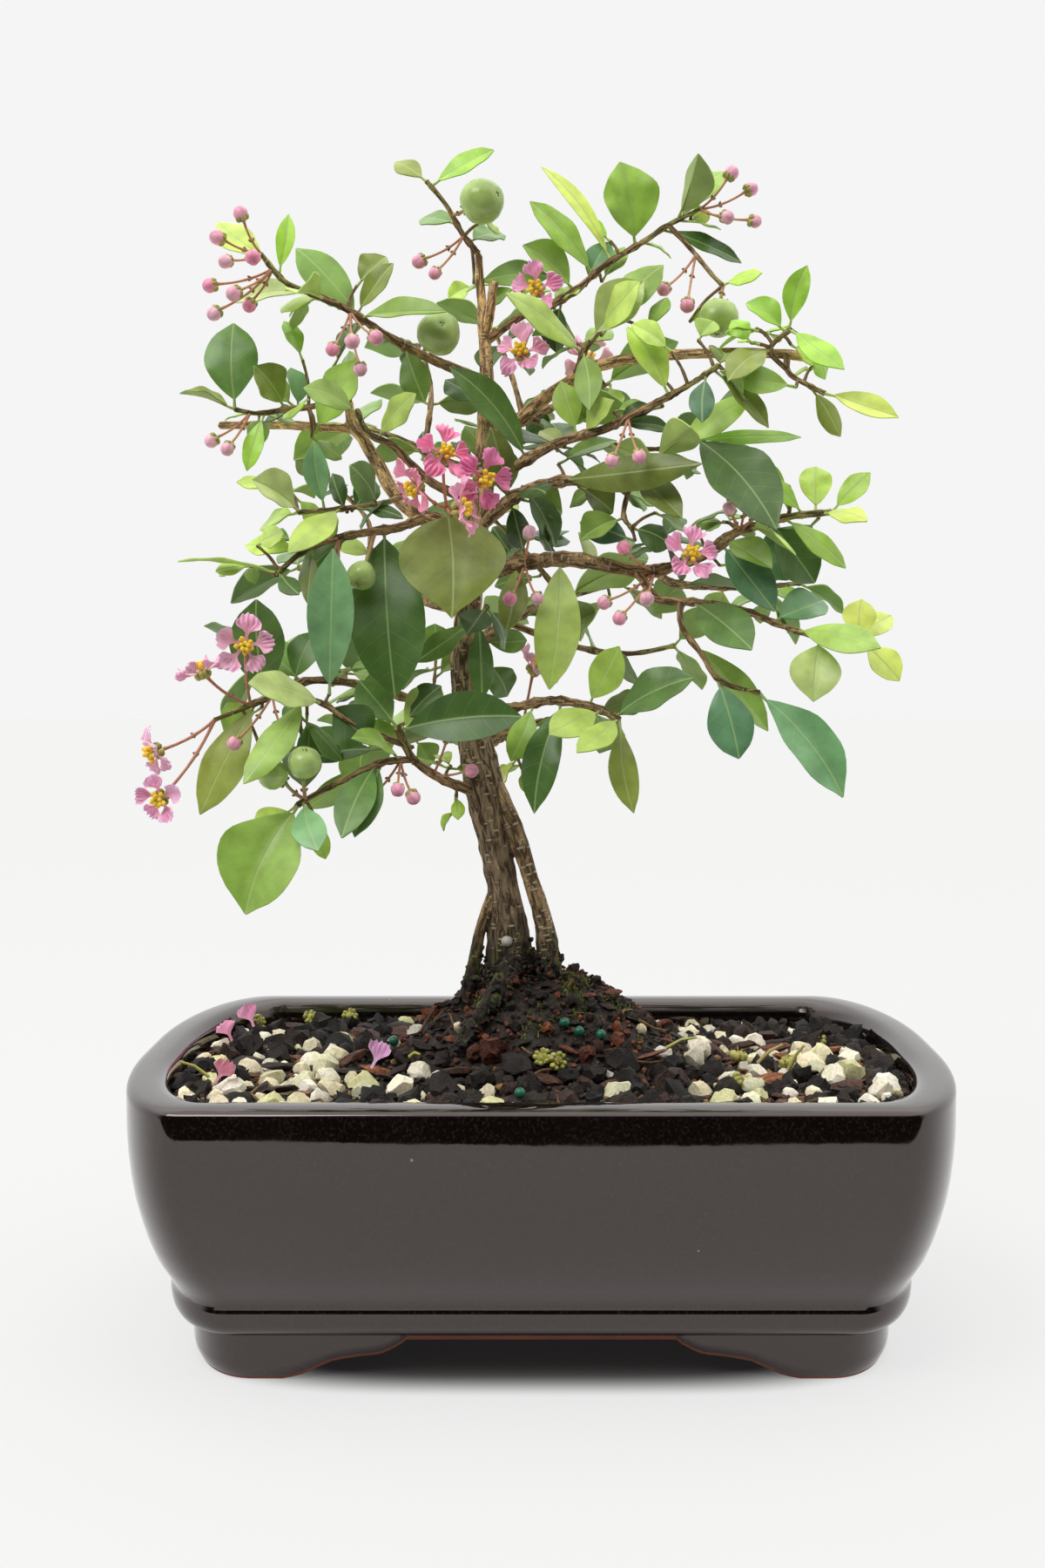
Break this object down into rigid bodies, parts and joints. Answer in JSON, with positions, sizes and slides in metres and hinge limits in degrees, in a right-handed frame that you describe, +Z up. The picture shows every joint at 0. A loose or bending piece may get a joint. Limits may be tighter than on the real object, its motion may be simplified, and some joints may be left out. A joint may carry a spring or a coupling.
{
  "type": "barbados cherry bonsai",
  "caption": "Flowering and fruiting bonsai tree, an upright Barbados cherry on a root mound, planted in gritty soil in a rectangular dark glazed pot on feet.",
  "frame": {"origin": "on the ground under the middle of the pot", "axes": "+Z up, +X along the pot's long side to the right as seen from the front, -Y towards the front"},
  "size_m": [0.2032, 0.148, 0.297],
  "materials": {
    "glaze": "glossy dark brown-black glaze",
    "screen": "matte black",
    "substrate": "loose pumice, lava and bark",
    "bark": "rough fissured bark",
    "foliage": "leathery, satin above, on brown twigs",
    "petal": "soft matte",
    "bud": "satin",
    "fruit_skin": "glossy"
  },
  "bodies": {
    "root": {"pot": "glaze", "drain_screen_1": "screen", "drain_screen_2": "screen", "soil": "substrate", "trunk": "bark", "spray_low_left": "foliage", "spray_far_left": "foliage", "spray_left_mid": "foliage", "spray_left_upper": "foliage", "spray_left_inner": "foliage", "spray_top_left": "foliage", "spray_crown": "foliage", "spray_top_right": "foliage", "spray_right_crown": "foliage", "spray_right_tip": "foliage", "spray_right_high": "foliage", "spray_right_mid": "foliage", "spray_right_low": "foliage", "spray_right_hang": "foliage", "spray_low_right": "foliage", "spray_heart": "foliage", "spray_trunk_front": "foliage", "spray_back_right": "foliage", "spray_back_left": "foliage", "spray_back_high": "foliage", "spray_back_mid": "foliage", "spray_back_low": "foliage", "spray_outer_right": "foliage", "blooms_heart": "petal", "blooms_left": "petal", "blooms_far_left": "petal", "blooms_right": "petal", "blooms_low": "petal", "blooms_upper": "petal", "blooms_back": "petal", "buds_top_left": "bud", "buds_far_top_left": "bud", "buds_upper_left": "bud", "buds_crown": "bud", "buds_top_right": "bud", "buds_upper_right": "bud", "buds_middle": "bud", "buds_right": "bud", "buds_low_right": "bud", "buds_centre": "bud", "buds_left": "bud", "buds_low_left": "bud", "buds_low": "bud", "buds_far_left": "bud", "buds_left_high": "bud", "fruit_crown": "fruit_skin", "fruit_upper": "fruit_skin", "fruit_right": "fruit_skin", "fruit_left": "fruit_skin", "fruits_low_left": "fruit_skin"}
  },
  "joints": []
}
